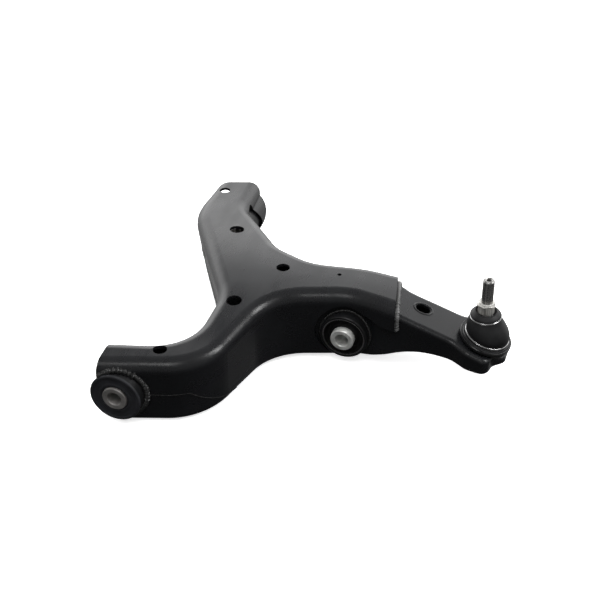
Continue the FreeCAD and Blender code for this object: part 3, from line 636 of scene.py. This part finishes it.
def socketed(r, height, angle):
    """Hexagon socket in the tip; elsewhere the serrated profile."""
    if height > SOCKET_FROM and 2.0 < r < 2.9:
        wrapped = (angle % (math.pi / 3.0)) - math.pi / 6.0
        return SOCKET_HALF / math.cos(wrapped)
    return fluted(r, height, angle)


# Heights are above the ball's centre: the ball, the taper, the collar, the thread, the socket.
stud_profile = [
    (0.0, -12.5), (3.2, -12.08), (6.2, -10.85), (8.8, -8.88), (10.8, -6.3), (12.05, -3.32),
    (12.5, 0.0), (12.05, 3.32), (10.8, 6.3), (8.8, 8.88), (6.9, 10.6), (6.6, 12.5), (7.3, 30.0),
    (7.55, 36.8), (8.0, 37.4), (8.0, 38.2), (8.0, 48.9), (8.0, 49.2), (7.4, 49.8), (6.05, 50.2),
    (5.75, 51.0), (5.75, 52.4), (6.0, 53.0), (6.0, 75.6), (5.0, 76.8), (3.25, 76.8), (2.75, 76.2),
    (2.75, 70.9), (0.0, 70.2),
]
stud = turned("stud_with_collar", stud_profile, ball, UP, stud_mat, "stud",
              columns=144, bend=socketed, soft=0.25)
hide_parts("ball_stud")

TOOTH_DEPTH = 0.35
TOOTH_COUNT = 13.0      # half the number of teeth round the nut
RIM_SHIFT = 1.3         # how far the rim is drawn out to one side, in mm
RIM_SIDE = 2.2          # the angle of that side
RIM_WAVE = 0.5          # height of the seven waves round the rim, in mm


def knurled(r, height, angle):
    """Serrated nut round the stud: fine teeth, with its thin upper rim drawn out to one side."""
    if r < 7.9:
        return r
    if r > 9.0:
        return r + RIM_SHIFT * math.cos(angle - RIM_SIDE) + RIM_WAVE * math.sin(angle * 7.0)
    return r - TOOTH_DEPTH * abs(math.sin(angle * TOOTH_COUNT))


turned("collar_nut", [
    (7.6, 38.0), (8.35, 38.4), (8.5, 39.4), (8.5, 46.6), (9.3, 47.6), (9.4, 48.4), (8.5, 48.9),
    (8.0, 49.9), (6.1, 50.3), (6.1, 49.0), (7.6, 48.0)],
    ball, UP, collar_mat, "stud", columns=156, bend=knurled, soft=0.2)

# ------------------------------------------------------------------ dust boot
foot_ring = middle("boot_lower_ring")
neck_ring = middle("boot_upper_ring")
housing_axis = (foot_ring - ball).normalized()
BOOT_COLUMNS = 128
WALL = 1.6              # thickness of the rubber, in mm
BEND = 0.35             # length of the centre line's handles, as a share of its span


def boot_spot(t, height=0.0):
    """Centre and axis of the boot's cross-section; t runs from the foot ring to the neck ring."""
    span = (neck_ring - foot_ring).length
    a = foot_ring
    b = foot_ring + housing_axis * span * BEND
    c = neck_ring - UP * span * BEND
    d = neck_ring
    s = 1.0 - t
    centre = a * s ** 3 + b * 3 * s * s * t + c * 3 * s * t * t + d * t ** 3
    axis = housing_axis.lerp(UP, max(0.0, min(1.0, t))).normalized()
    return centre + axis * height * MM, axis


# Outer radius in mm by t, the share of the way from the foot ring to the neck ring.
BOOT_OUTLINE = [
    (0.0, 22.7), (0.06, 23.1), (0.14, 23.2), (0.26, 22.9), (0.38, 22.2), (0.5, 21.2),
    (0.62, 20.0), (0.74, 18.6), (0.85, 17.2), (0.93, 16.2), (1.0, 15.3),
]


def boot_radius(t):
    """Outer radius between the outline's points."""
    for (t0, r0), (t1, r1) in zip(BOOT_OUTLINE, BOOT_OUTLINE[1:]):
        if t <= t1 + 1e-9:
            return r0 + (r1 - r0) * (t - t0) / (t1 - t0)
    return BOOT_OUTLINE[-1][1]


def boot_circle(t, height, radius):
    """Points round the boot's cross-section, height mm along its axis from t."""
    centre, axis = boot_spot(t, height)
    side = axis.cross(Vector((0, 1, 0))).normalized()
    other = axis.cross(side)
    points = []
    for j in range(BOOT_COLUMNS):
        angle = 2.0 * math.pi * j / BOOT_COLUMNS
        points.append(centre + (side * math.cos(angle) + other * math.sin(angle)) * radius * MM)
    return points


def boot_shell(name, outer_rows, inner_rows):
    """Closed skin from outer rows going up and inner rows coming back down."""
    points = []
    rows = outer_rows + inner_rows
    for t, height, radius in rows:
        points += boot_circle(t, height, radius)
    faces = rows_to_faces(len(rows), BOOT_COLUMNS, True)
    return make_piece(name, points, faces, boot_mat, "")


SPLIT = 0.5             # where the lower skin ends and the upper one begins
STEPS = 14
BOOT_CREASE = 50.0
low_ts = [SPLIT * i / STEPS for i in range(STEPS + 1)]
high_ts = [SPLIT + (1.0 - SPLIT) * i / STEPS for i in range(STEPS + 1)]
lower_outer = [(0.0, -1.35, 23.3), (0.0, -1.2, 23.9), (0.0, -0.7, 23.8), (0.0, -0.4, 23.0)]
lower_outer += [(t, 0.0, boot_radius(t)) for t in low_ts]
lower_inner = [(t, 0.0, boot_radius(t) - WALL) for t in reversed(low_ts)]
lower_inner += [(0.0, -0.6, 20.4), (0.0, -1.35, 20.0)]
boot_lower = boot_shell("boot_lower_skin", lower_outer, lower_inner)
upper_outer = [(t, 0.0, boot_radius(t)) for t in high_ts]
upper_outer += [
    (1.0, 0.5, 15.3), (1.0, 0.9, 15.9), (1.0, 1.5, 16.1), (1.0, 2.4, 15.8), (1.0, 3.6, 14.8),
    (1.0, 4.8, 13.6), (1.0, 5.8, 12.4), (1.0, 6.3, 11.6), (1.0, 6.3, 11.0), (1.0, 5.9, 10.6),
]
upper_inner = [(1.0, 4.6, 10.4), (1.0, 3.6, 10.6), (1.0, 3.3, 12.7), (1.0, -1.4, 12.7)]
upper_inner += [(t, 0.0, boot_radius(t) - WALL) for t in reversed(high_ts[:-1])]
boot_upper = boot_shell("boot_upper_skin", upper_outer, upper_inner)
sharpen(boot_lower, BOOT_CREASE)
sharpen(boot_upper, BOOT_CREASE)
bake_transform(boot_lower)
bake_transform(boot_upper)
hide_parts("dust_boot")


def wire_ring(name, centre, axis, radius, body, wire=0.42, turns=2.25, steps=220):
    """Spring wire clamp: a close-wound ring whose ends overlap."""
    side = axis.orthogonal().normalized()
    other = axis.cross(side)
    path = []
    for i in range(steps + 1):
        angle = 2.0 * math.pi * turns * i / steps
        lift = (i / steps - 0.5) * wire * 2.05 * (turns - 0.25)
        out = side * math.cos(angle) + other * math.sin(angle)
        path.append(centre + (out * radius + axis * lift) * MM)
    return bead(name, path, wire, wire_mat, body, ripple=0.0, wander=0.0)


def flange_path(radius=27.0, drop=2.7, turn=0.1, steps=63):
    """Points round the housing's flange, below the boot's foot; turn is the angle between two."""
    side = housing_axis.orthogonal().normalized()
    other = housing_axis.cross(side)
    path = []
    for i in range(steps):
        out = side * math.cos(i * turn) + other * math.sin(i * turn)
        path.append(foot_ring + (out * radius - housing_axis * drop) * MM)
    return path


foot_wire = wire_ring("foot_clamp_wire", foot_ring, housing_axis, 23.2, "arm")
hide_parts("boot_lower_ring")
bead("flange_lip", flange_path(), 0.45, housing_mat, "arm", closed=True, ripple=0.0,
     wander=0.05, columns=8)
neck_wire = wire_ring("neck_clamp_wire", neck_ring, UP, 15.8, "boot_neck")
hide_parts("boot_upper_ring")

# ------------------------------------------------------------------ camera
EYE = Vector((0.4964, -0.9219, 0.8570))
AZIMUTH = math.radians(18.3)
ELEVATION = math.radians(35.6)
LENS = 81.84            # mm, on a sensor this wide
SENSOR = 36.0

ahead = Vector((-math.sin(AZIMUTH) * math.cos(ELEVATION),
                math.cos(AZIMUTH) * math.cos(ELEVATION), -math.sin(ELEVATION)))
right = Vector((math.cos(AZIMUTH), math.sin(AZIMUTH), 0.0))
above = right.cross(ahead)
camera_data = bpy.data.cameras.new("camera")
camera_data.sensor_width = SENSOR
camera_data.lens = LENS
camera_data.clip_start = 0.01
camera_data.clip_end = 50.0
camera = bpy.data.objects.new("camera", camera_data)
bpy.context.scene.collection.objects.link(camera)
turn = Matrix((right, above, -ahead)).transposed().to_4x4()
camera.matrix_world = Matrix.Translation(EYE) @ turn
bpy.context.scene.camera = camera


# ------------------------------------------------------------------ floor and backdrop
def stage_mesh(name, points, faces, material):
    """Link a plain mesh that isn't part of the object."""
    mesh = bpy.data.meshes.new(name)
    mesh.from_pydata(points, [], faces)
    mesh.materials.append(material)
    piece = bpy.data.objects.new(name, mesh)
    bpy.context.scene.collection.objects.link(piece)
    return piece


FLOOR_GAP = 0.6         # the floor lies this far under the arm, in mm
FLOOR_HALF = 6.0        # half the floor's side

pale = Surface("floor_white")
pale.fix("Roughness", 0.9)
speck = pale.noise(3.0, 2.0)
tone = pale.ramp(speck.outputs["Fac"], [(NOISE_LOW, grey(0.93)), (NOISE_HIGH, grey(0.95))])
pale.feed("Base Color", tone.outputs["Color"])
pale.fix("Specular IOR Level", 0.1)
pale.fix("Emission Color", WHITE)
pale.fix("Emission Strength", 0.7)
floor_level = cad_box[0][2] - FLOOR_GAP * MM
corners = [(-FLOOR_HALF, -FLOOR_HALF), (FLOOR_HALF, -FLOOR_HALF), (FLOOR_HALF, FLOOR_HALF),
           (-FLOOR_HALF, FLOOR_HALF)]
floor = stage_mesh("floor", [(x, y, floor_level) for x, y in corners], [(0, 1, 2, 3)], pale.mat)
floor.visible_glossy = False
floor.visible_diffuse = False

# Pale backdrop seen only by the camera, so that low views have no dark horizon.
DOME_RADIUS = 12.0
DOME_LOWEST = -20.0     # degrees above the horizon
DOME_SPAN = 110.0       # degrees from there to the top
DOME_ROWS = 13
DOME_COLUMNS = 48

plain = Surface("backdrop_white")
plain.fix("Base Color", BLACK)
plain.fix("Specular IOR Level", 0.0)
plain.fix("Emission Color", WHITE)
plain.fix("Emission Strength", 1.0)
dome_points = []
for i in range(DOME_ROWS):
    rise = math.radians(DOME_LOWEST + DOME_SPAN * i / (DOME_ROWS - 1))
    for j in range(DOME_COLUMNS):
        angle = 2.0 * math.pi * j / DOME_COLUMNS
        dome_points.append((DOME_RADIUS * math.cos(rise) * math.cos(angle),
                            DOME_RADIUS * math.cos(rise) * math.sin(angle),
                            DOME_RADIUS * math.sin(rise)))
dome = stage_mesh("backdrop", dome_points, rows_to_faces(DOME_ROWS, DOME_COLUMNS, False),
                  plain.mat)
for ray in ("visible_diffuse", "visible_glossy", "visible_transmission", "visible_shadow"):
    setattr(dome, ray, False)

# ------------------------------------------------------------------ light
# Studio surround: a bright low backdrop behind the arm, dim overhead and in front.
world = bpy.data.worlds.new("studio")
world.use_nodes = True
studio = Nodes(world.node_tree)
background = studio.tree.nodes["Background"]
coord = studio.add("ShaderNodeTexCoord")
split = studio.add("ShaderNodeSeparateXYZ")
studio.link(coord.outputs["Generated"], split.inputs["Vector"])


def world_ramp(stops):
    """Brightness by height of the direction, from straight down (0) to straight up (1)."""
    shift = studio.add("ShaderNodeMapRange")
    shift.inputs["From Min"].default_value = -1.0
    studio.link(split.outputs["Z"], shift.inputs["Value"])
    peak = max(level for place, level in stops)
    shades = [(place, (level / peak,) * 3) for place, level in stops]
    node = studio.ramp(shift.outputs["Result"], shades)
    scale = studio.add("ShaderNodeMath", operation="MULTIPLY")
    scale.inputs[1].default_value = peak
    studio.link(node.outputs["Color"], scale.inputs[0])
    return scale


back_ramp = world_ramp([
    (0.0, 0.1), (0.3, 0.5), (0.48, 1.3), (0.53, 2.2), (0.735, 3.0), (0.76, 2.1), (0.785, 1.0),
    (0.81, 0.5), (0.86, 0.3), (1.0, 0.3)])
front_ramp = world_ramp([(0.0, 0.04), (0.45, 0.06), (0.55, 0.3), (0.8, 0.3), (1.0, 0.3)])
facing = studio.add("ShaderNodeVectorMath", operation="DOT_PRODUCT")
facing.inputs[1].default_value = (-0.36, 0.93, 0.0)     # towards the back of the studio
studio.link(coord.outputs["Generated"], facing.inputs[0])
side_mask = studio.add("ShaderNodeMapRange", interpolation_type="SMOOTHSTEP")
side_mask.inputs["From Min"].default_value = 0.15
side_mask.inputs["From Max"].default_value = 0.6
studio.link(facing.outputs["Value"], side_mask.inputs["Value"])
blend = studio.add("ShaderNodeMix", data_type="FLOAT")
studio.link(side_mask.outputs["Result"], blend.inputs["Factor"])
studio.link(front_ramp.outputs[0], blend.inputs["A"])
studio.link(back_ramp.outputs[0], blend.inputs["B"])
studio.link(blend.outputs["Result"], background.inputs["Strength"])
background.inputs["Color"].default_value = WHITE
bpy.context.scene.world = world


def soft_light(name, place, aim, width, height, power, in_gloss):
    """Rectangular lamp aimed at a point; in_gloss says whether its reflection shows."""
    data = bpy.data.lights.new(name, "AREA")
    data.shape = "RECTANGLE"
    data.size = width
    data.size_y = height
    data.energy = power
    lamp = bpy.data.objects.new(name, data)
    bpy.context.scene.collection.objects.link(lamp)
    direction = Vector(aim) - Vector(place)
    lamp.location = place
    lamp.rotation_euler = direction.to_track_quat("-Z", "Y").to_euler()
    lamp.visible_glossy = in_gloss


soft_light("overhead", (0.15, 0.2, 2.0), (0.15, 0.2, 0.0), 2.6, 2.6, 60.0, False)
soft_light("right_side", (1.5, 0.45, 1.15), (0.1, 0.1, 0.0), 0.45, 0.8, 14.0, True)
soft_light("high_front", (0.25, -1.0, 1.6), (0.1, 0.1, 0.0), 0.7, 0.5, 5.0, True)
bpy.context.scene.view_settings.view_transform = "Standard"
